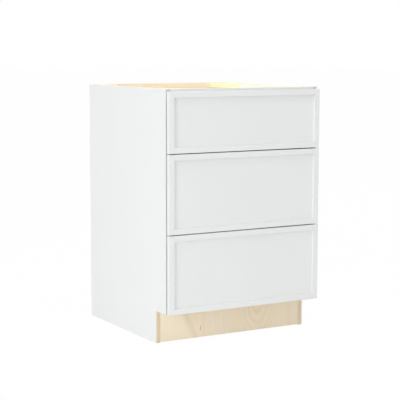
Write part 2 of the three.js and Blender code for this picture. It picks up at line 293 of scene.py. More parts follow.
def worn_arris_group():
    """Eased edges, handled and rubbed a little: another tone there, broken up along the edge."""
    group, tree, given, leaving = make_group(
        "worn arris",
        "ShaderNodeTree",
        [
            ("Place", VECTOR, None),
            ("Arris", FLOAT, 0.0),
            ("Colour", COLOUR, (0.8, 0.8, 0.8, 1.0)),
            ("Rubbed", COLOUR, (0.6, 0.6, 0.6, 1.0)),
            ("Wear", FLOAT, 0.2),
        ],
        [("Colour", COLOUR), ("Mask", FLOAT)],
    )
    patches = tree.between(tree.noise(given["Place"], 60.0, 3.0, 0.6), 0.35, 0.65)
    mask = tree.maths("MULTIPLY", given["Arris"], tree.maths("MULTIPLY", patches, given["Wear"]))
    hand_out(tree, leaving, Colour=tree.mix(mask, given["Colour"], given["Rubbed"]), Mask=mask)
    return group


def dust_and_shade_group():
    """A trace of dust and grime that settles where a face looks up; in a large amount, as on the
    braces, it is painted shade darkening their tops.
    """
    group, tree, given, leaving = make_group(
        "settled dust",
        "ShaderNodeTree",
        [
            ("Place", VECTOR, None),
            ("Colour", COLOUR, (0.8, 0.8, 0.8, 1.0)),
            ("Dust And Top Shade", COLOUR, rgb(205, 198, 186)),
            ("Amount", FLOAT, 0.05),
        ],
        [("Colour", COLOUR), ("Mask", FLOAT)],
    )
    surface = tree.add("ShaderNodeNewGeometry").outputs["True Normal"]
    facing = tree.add("ShaderNodeSeparateXYZ", {0: surface})
    upward = tree.between(facing.outputs["Z"], 0.6, 1.0)
    patches = tree.between(tree.noise(given["Place"], 25.0, 3.0, 0.6), 0.3, 0.7)
    mask = tree.maths("MULTIPLY", tree.maths("MULTIPLY", upward, patches), given["Amount"])
    hand_out(tree, leaving, Colour=tree.mix(mask, given["Colour"], given["Dust And Top Shade"]), Mask=mask)
    return group


MAPLE_FIGURE = maple_figure_group()
PLY_LAYERS = ply_layers_group()
END_GRAIN = end_grain_group()
PAINT_FILM = paint_film_group()
WORN_ARRIS = worn_arris_group()
SETTLED_DUST_AND_SHADE = dust_and_shade_group()
TRACE_OF_DUST = 0.04


# ---- Materials -----------------------------------------------------------------------------------
class Finish:
    """A material in the making, with the place of each point and whether it is on an eased edge."""

    def __init__(self, name, **shader_values):
        self.material = bpy.data.materials.new(name)
        self.material.use_nodes = True
        self.tree = Tree(self.material.node_tree)
        self.shader = self.material.node_tree.nodes["Principled BSDF"]
        for socket, value in shader_values.items():
            self.shader.inputs[socket.replace("_", " ")].default_value = value
        self.place = self.tree.add("ShaderNodeTexCoord").outputs["Object"]
        arris = self.tree.add("ShaderNodeAttribute", attribute_name="arris")
        self.arris = arris.outputs["Fac"]

    def group(self, group, **inputs):
        node = self.tree.add("ShaderNodeGroup", node_tree=group)
        named = {name.replace("_", " "): value for name, value in inputs.items()}
        self.tree.fill(node, {"Place": self.place, **named})
        return node.outputs

    def axis(self, name):
        return self.tree.add("ShaderNodeSeparateXYZ", {0: self.place}).outputs[name]

    def settle(self, colour, relief, height, rubbed, wear, roughness, dust_and_shade=TRACE_OF_DUST):
        """Edge wear, dust on upward faces (in a large amount also painted shade there) and relief,
        then everything goes into the shader.
        """
        worn = self.group(WORN_ARRIS, Arris=self.arris, Colour=colour, Rubbed=rubbed, Wear=wear)
        dusted_and_shaded = self.group(SETTLED_DUST_AND_SHADE, Colour=worn["Colour"], Amount=dust_and_shade)
        bump = self.tree.add("ShaderNodeBump", {"Height": relief, "Distance": height})
        links = self.tree.tree.links
        links.new(dusted_and_shaded["Colour"], self.shader.inputs["Base Color"])
        links.new(bump.outputs["Normal"], self.shader.inputs["Normal"])
        rubbed_gloss = self.tree.maths("MULTIPLY_ADD", worn["Mask"], -0.1, roughness)
        links.new(rubbed_gloss, self.shader.inputs["Roughness"])
        return self.material


ALONG = {"X": (1.0, 0.0, 0.0), "Y": (0.0, 1.0, 0.0), "Z": (0.0, 0.0, 1.0)}
PAINT, RUBBED_PAINT = rgb(238, 240, 239), rgb(226, 226, 220)
EDGE_SHADE_GREY = rgb(214, 216, 215)  # painted shade: grey on the front edges of the side panels, in the gap behind the fronts
BARE_PALE, BARE_DARK = rgb(254, 245, 226), rgb(249, 232, 205)
LACQUERED_PALE, LACQUERED_DARK = rgb(254, 242, 217), rgb(250, 231, 197)
# Inner faces of the sides: maple lightened to near white, painted light as where the key lamp
# strikes them.
SIDE_PAINTED_LIGHT_PALE, SIDE_PAINTED_LIGHT_DARK = rgb(254, 254, 251), rgb(252, 251, 243)
BRACE_PALE, BRACE_DARK = rgb(253, 246, 206), rgb(246, 236, 188)
SOLID_PALE, SOLID_DARK = rgb(240, 218, 178), rgb(214, 184, 138)
KNOT_STAIN, KNOT_HEART = rgb(214, 184, 140), rgb(160, 112, 62)
TOE_RIGHT_SHADE = rgb(232, 211, 182)  # painted shade: the toe board darker towards its right end, away from the light at the left
SAWN_PALE, SAWN_DARK = rgb(246, 230, 202), rgb(222, 194, 154)
END_PALE, END_DARK = rgb(226, 198, 156), rgb(192, 158, 114)
ZINC_DARK, ZINC_PALE, ZINC_RUBBED = rgb(186, 189, 192), rgb(206, 208, 209), rgb(222, 223, 224)
LACQUERED, UNFINISHED = 0.42, 0.72  # how rough a face is


def satin_paint(name, colour):
    finish = Finish(name, IOR=1.5)
    film = finish.group(PAINT_FILM, Paint=colour)
    gloss = film["Roughness"]
    return finish.settle(film["Colour"], film["Relief"], 0.01 * MM, RUBBED_PAINT, 0.35, gloss)


def maple(name, along, pale, dark, gloss, figure=0.45, dust_and_shade=TRACE_OF_DUST):
    """A maple face, veneer or solid, with its grain along one axis."""
    finish = Finish(name, IOR=1.5)
    grain = finish.group(
        MAPLE_FIGURE, Along=ALONG[along], Pale=pale, Dark=dark, Figure=figure, Flecks=0.25
    )
    spread = finish.tree.maths("MULTIPLY_ADD", grain["Relief"], -0.12, gloss)
    return finish.settle(grain["Colour"], grain["Relief"], 0.02 * MM, dark, 0.3, spread, dust_and_shade)


def maple_each_way(name, axes, *values):
    """The same maple with its grain along each of some axes."""
    return {axis: maple(f"{name} {axis}", axis, *values) for axis in axes}


def sawn_ply(name, axis, start, thickness, plies, mirrored=False):
    """The edge of plywood whose layers lie along one axis. mirrored takes left and right alike."""
    finish = Finish(name, IOR=1.45)
    depth = finish.axis(axis)
    if mirrored:
        depth = finish.tree.maths("ABSOLUTE", depth)
    across = finish.tree.between(depth, start, start + thickness)
    tones = {"Pale": SAWN_PALE, "Dark": SAWN_DARK}
    layers = finish.group(PLY_LAYERS, Across=across, Plies=float(plies), **tones)
    rough = finish.tree.maths("MULTIPLY_ADD", layers["Relief"], -0.1, UNFINISHED)
    return finish.settle(layers["Colour"], layers["Relief"], 0.08 * MM, SAWN_DARK, 0.4, rough)


def sawn_end(name, pale, dark):
    finish = Finish(name, IOR=1.45)
    ends = finish.group(END_GRAIN, Pale=pale, Dark=dark)
    rough = finish.tree.maths("MULTIPLY_ADD", ends["Relief"], -0.1, 0.5)
    return finish.settle(ends["Colour"], ends["Relief"], 0.04 * MM, dark, 0.3, rough)


KNOT_PLACE = (-125.0 * MM, 34.0 * MM)  # across and up the toe board
KNOT_SIZE = (1.6 * MM, 9.0 * MM)
KNOT_REACH = 11.0  # how many knot sizes away the grain still bends round it
KNOT_BEND = 3.0  # in rings, at the knot itself
KNOT_STRENGTH = 0.6
ARCH_PLACE = (112.0 * MM, 150.0 * MM)  # heart of the arched rings
ARCH_SIZE = (15.0 * MM, 36.0 * MM)  # from one ring to the next, across and down
ARCH_FADE = (6.5, 3.5)  # how many rings out they start to show, and are at full strength
ARCH_STRENGTH = 0.2
WANDER = 12.0 * MM  # how far a streak strays from its line, to either side
CORNER_LINE = 3.0 * MM  # darkened strip at the right end of the toe board
CORNER_STRENGTH = 0.7
RIGHT_SHADE_SHARE = 0.12  # of the painted shade, at the right end
# Brown streaks up the toe board: place at the floor, lean, half the width, strength.
STREAKS = (
    (-148.0 * MM, -0.45, 20.0 * MM, 0.24),
    (-114.0 * MM, 0.05, 9.0 * MM, 0.14),
    (246.0 * MM, 0.0, 12.0 * MM, 0.12),
)


def toe_board_face():
    """Bare plywood: upright grain, arched rings to the right, a pin knot and brown streaks, and
    painted shade towards the right end.
    """
    finish = Finish("bare maple plywood, toe board", IOR=1.45)
    tree = finish.tree
    across, up = finish.axis("X"), finish.axis("Z")

    def away(centre, size):
        """The distance from a centre, in sizes of an oval."""
        squares = []
        for place, middle, span in zip((across, up), centre, size):
            share = tree.maths("DIVIDE", tree.maths("SUBTRACT", place, middle), span)
            squares.append(tree.maths("POWER", share, 2.0))
        return tree.maths("SQRT", tree.maths("ADD", *squares))

    arches = away(ARCH_PLACE, ARCH_SIZE)
    from_knot = away(KNOT_PLACE, KNOT_SIZE)
    bend = tree.maths("MULTIPLY", tree.between(from_knot, KNOT_REACH, 0.0), KNOT_BEND)
    field = tree.maths("ADD", arches, bend)
    grain = finish.group(
        MAPLE_FIGURE,
        Along=ALONG["Z"],
        Pale=BARE_PALE,
        Dark=BARE_DARK,
        Ring_Field=field,
        Rings=9.0,
        Figure=1.0,
        Flecks=0.2,
    )
    # Painted shade: the face darkens towards its right end, away from the light at the left.
    right_shade = tree.between(across, -SIDE_INNER, SIDE_INNER, 0.0, RIGHT_SHADE_SHARE)
    colour = tree.mix(right_shade, grain["Colour"], TOE_RIGHT_SHADE)

    bent = tree.maths("MULTIPLY_ADD", tree.noise(finish.place, 22.0), 1.4, arches)
    near_heart = tree.between(arches, *ARCH_FADE, 0.0, ARCH_STRENGTH)
    ring = tree.maths("MULTIPLY", tree.between(tree.swing(bent), 0.18, 0.5), near_heart)
    colour = tree.mix(ring, colour, KNOT_STAIN)

    wander = tree.maths("MULTIPLY_ADD", tree.noise(finish.place, 14.0), 2 * WANDER, -WANDER)
    for foot, lean, half_width, strength in STREAKS:
        middle = tree.maths("MULTIPLY_ADD", up, lean, tree.maths("ADD", wander, foot))
        off = tree.away_from(across, middle)
        colour = tree.mix(tree.between(off, half_width, 0.0, 0.0, strength), colour, KNOT_STAIN)

    corner = tree.between(across, SIDE_INNER - CORNER_LINE, SIDE_INNER, 0.0, CORNER_STRENGTH)
    colour = tree.mix(corner, colour, KNOT_STAIN)
    colour = tree.mix(tree.between(from_knot, 1.5, 0.5, 0.0, KNOT_STRENGTH), colour, KNOT_HEART)
    rough = tree.maths("MULTIPLY_ADD", grain["Relief"], -0.15, UNFINISHED)
    return finish.settle(colour, grain["Relief"], 0.04 * MM, BARE_DARK, 0.4, rough)


def zinc_steel():
    """Zinc plating: fine drawn lines along the runner and a faint cloudiness."""
    finish = Finish("zinc-plated steel", Metallic=1.0)
    tree = finish.tree
    drawn = tree.vector("MULTIPLY", finish.place, (1.0, 0.03, 1.0))
    lines = tree.noise(drawn, 1500.0, 2.0)
    cloud = tree.noise(finish.place, 40.0, 3.0)
    shade = tree.maths("MULTIPLY_ADD", lines, 0.4, tree.maths("MULTIPLY", cloud, 0.6))
    colour = tree.mix(tree.between(shade, 0.3, 0.7), ZINC_DARK, ZINC_PALE)
    rough = tree.maths("MULTIPLY_ADD", cloud, 0.2, 0.28)
    return finish.settle(colour, lines, 0.008 * MM, ZINC_RUBBED, 0.6, rough)


def moulded_plastic(name, colour, gloss):
    finish = Finish(name, IOR=1.48)
    film = finish.group(PAINT_FILM, Paint=colour, Unevenness=0.08, Satin=gloss)
    return finish.settle(film["Colour"], film["Relief"], 0.02 * MM, colour, 0.1, film["Roughness"])


WHITE = satin_paint("satin white paint", PAINT)
# Grey paint for the side panels' front edges: painted shade of the gap behind the fronts.
EDGE_SHADE_PAINT = satin_paint("grey front edge paint, painted shade", EDGE_SHADE_GREY)
VENEER = maple_each_way("lacquered maple veneer", "XYZ", LACQUERED_PALE, LACQUERED_DARK, LACQUERED)
BARE = maple_each_way("bare maple plywood", "XZ", BARE_PALE, BARE_DARK, UNFINISHED, 0.5)
SOLID = maple_each_way("solid maple", "XY", SOLID_PALE, SOLID_DARK, 0.4, 0.55)
# Maple for the inner faces of the sides, lightened to near white as painted light.
SIDE_VENEER_PAINTED_LIGHT = maple("maple veneer, sides, with painted light", "Z", SIDE_PAINTED_LIGHT_PALE, SIDE_PAINTED_LIGHT_DARK, LACQUERED)
# Beyond a trace, the braces' dust is painted shade that darkens their upward faces.
BRACE_WOOD = maple("pale wood braces", "X", BRACE_PALE, BRACE_DARK, 0.5, 0.5, dust_and_shade=0.35)
BRACE_END = sawn_end("pale wood braces, sawn", BRACE_PALE, BRACE_DARK)
MAPLE_END = sawn_end("solid maple, sawn ends", END_PALE, END_DARK)
TOE_FACE_WOOD = toe_board_face()
STEEL = zinc_steel()
CLIP_PLASTIC = moulded_plastic("grey clip plastic", rgb(150, 152, 154), 0.5)
BUMPER_RUBBER = moulded_plastic("milky bumper rubber", rgb(228, 229, 226), 0.35)


def edge_of(node, axis, plies):
    """The sawn edge material of a plywood node, whose thickness lies along an axis."""
    low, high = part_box(node)
    index = "XYZ".index(axis)
    return sawn_ply(f"sawn edge {node}", axis, low[index], high[index] - low[index], plies)


# ---- Eased copies of the CAD pieces --------------------------------------------------------------
def at(value, plane):
    return abs(value - plane) < HAIR


def plain_mesh(thing):
    """The thing with its modifiers worked into a plain mesh of its own."""
    depsgraph = bpy.context.evaluated_depsgraph_get()
    made = bpy.data.meshes.new_from_object(
        thing.evaluated_get(depsgraph), preserve_all_data_layers=True, depsgraph=depsgraph
    )
    thing.modifiers.clear()
    thing.data = made


def mesh_of(name, shape):
    """The mesh of a shape, which isn't used after that."""
    mesh = bpy.data.meshes.new(name)
    shape.to_mesh(mesh)
    shape.free()
    return mesh


def mark_arrises(mesh, flats):
    """Notes which faces are eased edges: those that look the way of none of the flat faces."""
    arris = mesh.attributes.new("arris", "FLOAT", "FACE")
    for face in mesh.polygons:
        along = max((face.normal.dot(flat) for flat in flats), default=0.0)
        arris.data[face.index].value = 0.0 if along > math.cos(FLAT) else 1.0


def new_piece(name, mesh, materials):
    piece = bpy.data.objects.new(name, mesh)
    bpy.context.scene.collection.objects.link(piece)
    for material in materials:
        mesh.materials.append(material)
    return piece


def dress(node, materials, pick, width_of, joint=None):
    """Replaces a CAD node by a copy with eased edges.

    pick gives a face its material by its normal and middle. width_of gives an edge its easing by
    its middle and the normals of its two faces. joint is a plane, as (point, normal), along which
    two layers are glued: the faces that cross it are split there.
    """
    shape = bmesh.new()
    shape.from_mesh(frame["nodes"][node].data)
    bmesh.ops.remove_doubles(shape, verts=shape.verts, dist=WELD)
    bmesh.ops.dissolve_limit(shape, angle_limit=FLAT, verts=shape.verts, edges=shape.edges)
    if joint:
        whole = [*shape.verts, *shape.edges, *shape.faces]
        bmesh.ops.bisect_plane(shape, geom=whole, plane_co=joint[0], plane_no=joint[1])
    shape.normal_update()
    widths = {}
    for edge in shape.edges:
        sharp = len(edge.link_faces) == 2 and edge.calc_face_angle(0.0) > SHARP
        edge.smooth = not sharp
        if sharp and edge.is_convex:
            middle = (edge.verts[0].co + edge.verts[1].co) / 2
            widths[edge.index] = width_of(middle, *[face.normal for face in edge.link_faces])
    widest = max(widths.values())
    weight = shape.edges.layers.float.new("bevel_weight_edge")
    for edge in shape.edges:
        edge[weight] = widths.get(edge.index, 0.0) / widest if widest else 0.0
    for face in shape.faces:
        face.smooth = True
        face.material_index = pick(face.normal, face.calc_center_median())
    flats = {tuple(round(value, 4) for value in face.normal) for face in shape.faces}
    name = f"{node}_finished"
    piece = new_piece(name, mesh_of(name, shape), materials)
    if widest:
        easing = piece.modifiers.new("eased edges", "BEVEL")
        easing.width = widest
        easing.segments = CORNER_STEPS
        easing.limit_method = "WEIGHT"
        easing.harden_normals = True
        plain_mesh(piece)
    mark_arrises(piece.data, [Vector(flat) for flat in flats])
    piece.data.name = name
    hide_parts(node)
    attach(piece, frame["nodes"][node]["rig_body"])
    return piece


def even(width):
    """The same easing on every edge."""
    return lambda middle, one, other: width


def all_over(normal, middle):
    """One material on every face."""
    return 0


def ends_along(axis):
    """The second material on the two faces that look along an axis, and the first elsewhere."""
    index = "XYZ".index(axis)
    return lambda normal, middle: 1 if abs(normal[index]) > SQUARE_ON else 0


def side_panel(hand, sign):
    """White outside and on top, grey in front as painted shade of the gap behind the fronts,
    veneered inside with maple lightened as painted light, and sawn plywood elsewhere.
    """
    name = f"side_panel_{hand}"
    plywood = GLUE_PLANE - SIDE_INNER
    edge = sawn_ply(f"sawn edge {name}", "X", SIDE_INNER, plywood, PLIES, mirrored=True)
    white, veneered, sawn, edge_shade = range(4)

    def pick(normal, middle):
        outward = normal.x * sign
        # The front edge takes grey paint that is painted shade; the inner face takes maple
        # lightened as painted light.
        if normal.y < -SQUARE_ON and at(middle.y, BOX_FRONT):
            return edge_shade
        if outward > SQUARE_ON or abs(middle.x) > GLUE_PLANE or normal.z > SQUARE_ON:
            return white
        return veneered if outward < -SQUARE_ON else sawn

    joint = (Vector((sign * GLUE_PLANE, 0.0, 0.0)), ACROSS)
    dress(name, [WHITE, SIDE_VENEER_PAINTED_LIGHT, edge, EDGE_SHADE_PAINT], pick, even(SAWN_ARRIS), joint)


def flat_board(node, faces, edge_axis, plies):
    """A plywood board, with a material for its low and its high side, and plies on its edges."""
    index = "XYZ".index(edge_axis)
    low_side, high_side, edges = range(3)

    def pick(normal, middle):
        if normal[index] < -SQUARE_ON:
            return low_side
        return high_side if normal[index] > SQUARE_ON else edges

    dress(node, [*faces, edge_of(node, edge_axis, plies)], pick, even(SAWN_ARRIS))


def top_rail():
    """The board on edge in front: its face and top edge are painted, the rest is veneered."""
    materials = [WHITE, VENEER["X"], edge_of("top_rail_front", "Y", TOP_RAIL_PLIES)]
    painted, veneered, sawn = range(3)

    def pick(normal, middle):
        if normal.y < -SQUARE_ON or normal.z > SQUARE_ON:
            return painted
        return sawn if normal.z < -SQUARE_ON else veneered

    dress("top_rail_front", materials, pick, even(SAWN_ARRIS))


def corner_braces():
    """Their tops lie just below the side panels' top edges, so no staple stands above those."""
    materials = [BRACE_WOOD, BRACE_END]
    for end in ("front", "back"):
        for hand in HANDS:
            name = f"corner_brace_{end}_{hand}"
            brace = dress(name, materials, ends_along("X"), even(SAWN_ARRIS))
            for vertex in brace.data.vertices:
                if vertex.co.z > BOX_TOP - BRACE_DROP - SAWN_ARRIS:
                    vertex.co.z -= BRACE_DROP


def drawer_front(tier):
    """Five painted pieces. Their outer edges are sanded round; the others stay crisp."""
    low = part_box(f"{tier}_front_stile_left")[0]
    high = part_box(f"{tier}_front_stile_right")[1]
    rail_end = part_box(f"{tier}_front_rail_top")[1].x

    def width_of(middle, one, other):
        at_side = at(middle.x, low.x) or at(middle.x, high.x)
        outer = at_side or at(middle.z, low.z) or at(middle.z, high.z)
        front = at(middle.y, low.y)
        if outer and (front or at(middle.y, high.y)):
            return FRONT_ARRIS if front else FRONT_ARRIS / 2
        if not front:
            return 0.0
        upright = abs(one.x + other.x) > SQUARE_ON
        return JOINT_ARRIS if upright and abs(middle.x) > rail_end else PANEL_ARRIS

    for name in ("stile_left", "stile_right", "rail_top", "rail_bottom", "panel"):
        dress(f"{tier}_front_{name}", [WHITE], all_over, width_of)


def board_easing(low, high, thin, long):
    """Rounds the top and bottom edges of a board, given the axes it is thin and long along."""
    thin, long = "XYZ".index(thin), "XYZ".index(long)

    def width_of(middle, one, other):
        level = at(middle.z, low.z) or at(middle.z, high.z)
        both = one + other
        runs_along = abs(both[thin]) > SQUARE_ON and abs(both[long]) < 1 - SQUARE_ON
        return BOARD_ARRIS if level and runs_along else TAIL_ARRIS

    return width_of


def drawer_box(tier):
    """Solid boards with their sawn ends in the dovetails, and a veneered bottom."""
    low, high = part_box(f"{tier}_drawer_side_left")
    side_easing = board_easing(low, high, "X", "Y")
    end_easing = board_easing(low, high, "Y", "X")
    for hand in HANDS:
        name = f"{tier}_drawer_side_{hand}"
        dress(name, [SOLID["Y"], MAPLE_END], ends_along("Y"), side_easing)
    for end in ("front", "back"):
        name = f"{tier}_drawer_{end}_board"
        dress(name, [SOLID["X"], MAPLE_END], ends_along("X"), end_easing)
    dress(f"{tier}_drawer_bottom", [VENEER["Y"]], all_over, even(TAIL_ARRIS))


def runners(tier):
    for member in ("fixed", "carriage", "drawer"):
        for hand in HANDS:
            dress(f"{tier}_runner_{member}_{hand}", [STEEL], all_over, even(BEND_ARRIS))


# ---- Small fixings, set out by a geometry tree ---------------------------------------------------
def fixings_tree():
    """Sets a fixing on each point of a mesh, turned as the point says, and gives it its finish."""
    group, tree, given, leaving = make_group(
        "set out fixings",
        "GeometryNodeTree",
        [
            ("Points", "NodeSocketGeometry", None),
            ("Fixing", "NodeSocketObject", None),
            ("Finish", "NodeSocketMaterial", None),
            ("Size", FLOAT, 1.0),
            ("Looseness", FLOAT, 0.02),
            ("Seed", "NodeSocketInt", 1),
        ],
        [("Fixings", "NodeSocketGeometry")],
    )
    source = tree.add("GeometryNodeObjectInfo", {"Object": given["Fixing"]})

    def noted(label):
        kind = "GeometryNodeInputNamedAttribute"
        return tree.add(kind, {"Name": label}, data_type="FLOAT_VECTOR").outputs[0]

    aimed = tree.add("FunctionNodeAlignRotationToVector", {"Vector": noted("facing")}, axis="Z")
    turns = {"Rotation": aimed.outputs[0], "Vector": noted("heading")}
    headed = tree.add("FunctionNodeAlignRotationToVector", turns, axis="X", pivot_axis="Z")
    other_way = tree.maths("MULTIPLY", given["Looseness"], -1.0)
    limits = {2: other_way, 3: given["Looseness"], "Seed": given["Seed"]}
    chance = tree.add("FunctionNodeRandomValue", limits, data_type="FLOAT")
    turns = {"Axis": (0.0, 0.0, 1.0), "Angle": chance.outputs[1]}
    twist = tree.add("FunctionNodeAxisAngleToRotation", turns)
    turns = {0: headed.outputs[0], 1: twist.outputs[0]}
    rotation = tree.add("FunctionNodeRotateRotation", turns, rotation_space="LOCAL")
    placed = tree.add(
        "GeometryNodeInstanceOnPoints",
        {
            "Points": given["Points"],
            "Instance": source.outputs["Geometry"],
            "Rotation": rotation.outputs[0],
            "Scale": given["Size"],
        },
    )
    real = tree.add("GeometryNodeRealizeInstances", {"Geometry": placed.outputs[0]})
    inputs = {"Geometry": real.outputs[0], "Material": given["Finish"]}
    coated = tree.add("GeometryNodeSetMaterial", inputs)
    hand_out(tree, leaving, Fixings=coated.outputs[0])
    return group


FIXINGS = fixings_tree()
ROUND = 16  # corners round a turned fixing
CREASE = math.radians(50)  # a fixing's edges that turn more than this stay sharp


def turned(name, rings, cross=0.0):
    """A fixing that looks along +Z, from rings of (radius, height, share of the recess)."""
    shape = bmesh.new()
    loops = []
    for radius, height, share in rings:
        loop = []
        for step in range(ROUND):
            angle = 2 * math.pi * step / ROUND
            reach = radius * (1 - share * cross * math.sin(2 * angle) ** 2)
            loop.append(shape.verts.new((reach * math.cos(angle), reach * math.sin(angle), height)))
        loops.append(loop)
    for lower, upper in zip(loops, loops[1:]):
        for step in range(ROUND):
            after = (step + 1) % ROUND
            shape.faces.new((lower[step], lower[after], upper[after], upper[step]))
    shape.faces.new(loops[-1])
    shape.faces.new(reversed(loops[0]))
    return pattern(name, shape)


def pattern(name, shape):
    """A fixing's shape as an object that only serves as a pattern and isn't in the scene itself."""
    bmesh.ops.recalc_face_normals(shape, faces=shape.faces)
    for face in shape.faces:
        face.smooth = True
    for edge in shape.edges:
        edge.smooth = edge.calc_face_angle(0.0) < CREASE
    return bpy.data.objects.new(name, mesh_of(name, shape))


def pan_screw():
    """A pan-head screw with a cross recess; what is below its head is in the wood."""
    head, recess = 3.6 * MM, 1.7 * MM
    rings = [(head, 0.0, 0.0), (head, 0.7 * MM, 0.0), (head * 0.86, 1.5 * MM, 0.0)]
    rings += [(head * 0.55, 2.0 * MM, 0.0), (recess, 2.1 * MM, 1.0), (recess * 0.75, 0.7 * MM, 1.0)]
    return turned("pan_screw", rings, cross=0.62)


def rubber_bumper(standoff):
    """A domed bumper that fills the space behind a front."""
    radius = 4.75 * MM
    dome = ((1.0, 0.0), (1.0, 0.35), (0.9, 0.7), (0.68, 0.92), (0.4, 1.0))
    rings = [(radius * out, standoff * up, 0.0) for out, up in dome]
    return turned("rubber_bumper", rings)


def staple_crown():
    """The crown of a staple, a flat wire that dips into the wood at both ends."""
    reach, width, height = 3.2 * MM, 0.55 * MM, 0.35 * MM
    stations = [(-reach, -0.2 * MM), (-reach * 0.92, height * 0.6), (-reach * 0.75, height)]
    stations += [(-x, z) for x, z in reversed(stations)]
    flat, crown = width * 0.6, height * 0.6
    section = [(-width, 0.0), (-flat, crown), (flat, crown), (width, 0.0)]
    shape = bmesh.new()
    loops = [
        [shape.verts.new((x, y, z + lift - height)) for y, lift in section] for x, z in stations
    ]
    for near, far in zip(loops, loops[1:]):
        for step in range(len(section)):
            after = (step + 1) % len(section)
            shape.faces.new((near[step], near[after], far[after], far[step]))
    shape.faces.new(loops[0])
    shape.faces.new(reversed(loops[-1]))
    return pattern("staple_crown", shape)


def set_out(name, body, fixing, finish, places, looseness=0.02, seed=1):
    """One piece made of many fixings, on places of (point, facing, heading)."""
    mesh = bpy.data.meshes.new(name)
    mesh.from_pydata([place for place, _, _ in places], [], [])
    for label, column in (("facing", 1), ("heading", 2)):
        layer = mesh.attributes.new(label, "FLOAT_VECTOR", "POINT")
        for item, row in zip(layer.data, places):
            item.vector = row[column]
    piece = new_piece(name, mesh, [])
    modifier = piece.modifiers.new("set out", "NODES")
    modifier.node_group = FIXINGS
    values = {"Fixing": fixing, "Finish": finish, "Looseness": looseness, "Seed": seed}
    for socket in FIXINGS.interface.items_tree:
        if socket.in_out == "INPUT" and socket.name in values:
            modifier[socket.identifier] = values[socket.name]
    plain_mesh(piece)
    piece.data.name = name
    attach(piece, body)


def runner_screws():
    """Screws hold each fixed member to its side panel."""
    places = []
    for tier in TIERS:
        for hand, sign in HANDS.items():
            low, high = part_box(f"{tier}_runner_fixed_{hand}")
            face = sign * (SIDE_INNER - STEEL_THICKNESS)
            level = low.z + RUNNER_SCREW_RISE
            for share in RUNNER_SCREWS:
                point = Vector((face, low.y + (high.y - low.y) * share, level))
                places.append((point, ACROSS * -sign, BACK))
    set_out("runner_screws", "cabinet", PAN_SCREW, STEEL, places, SCREW_TWIST, seed=3)


def front_screws():
    """Four screws through the front board of each drawer box hold its front."""
    for index, tier in enumerate(TIERS):
        low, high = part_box(f"{tier}_drawer_front_board")
        places = [
            (Vector((x, high.y, z)), BACK, ACROSS)
            for x in (-FRONT_SCREW_REACH, FRONT_SCREW_REACH)
            for z in (low.z + FRONT_SCREW_RISE, high.z - FRONT_SCREW_DROP)
        ]
        name = f"{tier}_front_screws"
        drawer = f"drawer_{tier}"
        set_out(name, drawer, PAN_SCREW, STEEL, places, SCREW_TWIST, seed=11 + index)


def front_bumpers():
    """A soft bumper in each back corner of a front meets the edge of the side panel."""
    for tier in TIERS:
        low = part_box(f"{tier}_front_stile_left")[0]
        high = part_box(f"{tier}_front_stile_right")[1]
        places = [
            (Vector((sign * (SIDE_INNER + SIDE_OUTER) / 2, high.y, z)), BACK, ACROSS)
            for sign in (-1, 1)
            for z in (low.z + BUMPER_INSET, high.z - BUMPER_INSET)
        ]
        set_out(f"{tier}_front_bumpers", f"drawer_{tier}", RUBBER_BUMPER, BUMPER_RUBBER, places)


def staples():
    """Staples through the back into the hanging rails, and down through the corner braces."""
    places = []
    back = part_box("back_panel")[0].y
    for end in ("top", "bottom"):
        low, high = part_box(f"hanging_rail_{end}")
        first = max(low.z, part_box("bottom_panel")[1].z)
        for row in STAPLE_ROWS:
            level = first + (high.z - first) * row
            for step in range(STAPLES_ALONG_RAIL):
                share = (step + 0.5) / STAPLES_ALONG_RAIL
                x = -SIDE_INNER + 2 * SIDE_INNER * share
                places.append((Vector((x, back, level)), OUT, ACROSS))
    set_out("back_staples", "cabinet", STAPLE, STEEL, places, looseness=0.25, seed=21)

    places = []
    for end, inward in (("front", 1), ("back", -1)):
        for hand, sign in HANDS.items():
            low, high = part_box(f"corner_brace_{end}_{hand}")
            edge = low.y if end == "front" else high.y
            corner = Vector((sign * SIDE_INNER, edge, high.z - BRACE_DROP))
            for along in BRACE_STAPLES:
                reach = (high.x - low.x) * along
                for x, y, way in ((STAPLE_INSET, reach, BACK), (reach, STAPLE_INSET, ACROSS)):
                    places.append((corner + Vector((-sign * x, inward * y, 0)), UP, way))
    set_out("brace_staples", "cabinet", STAPLE, STEEL, places, looseness=0.2, seed=22)


STEEL_THICKNESS = 1.5 * MM  # of the fixed member, under a screw's head
RUNNER_SCREWS = (0.07, 0.5, 0.9)  # places along the member, as shares of its length
RUNNER_SCREW_RISE = 22.0 * MM
SCREW_TWIST = 0.7  # how far a screw's cross may be turned either way
FRONT_SCREW_REACH = 190.0 * MM  # from the middle of the drawer
FRONT_SCREW_RISE = 45.0 * MM
FRONT_SCREW_DROP = 30.0 * MM
BUMPER_INSET = 18.0 * MM
STAPLES_ALONG_RAIL = 9
STAPLE_ROWS = (0.28, 0.72)  # shares of the rail's height
BRACE_STAPLES = (0.35, 0.75)  # shares of a brace's leg
STAPLE_INSET = 9.0 * MM
FRONT_STANDOFF = BOX_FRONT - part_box("top_front_panel")[1].y
PAN_SCREW = pan_screw()
STAPLE = staple_crown()
RUBBER_BUMPER = rubber_bumper(FRONT_STANDOFF)


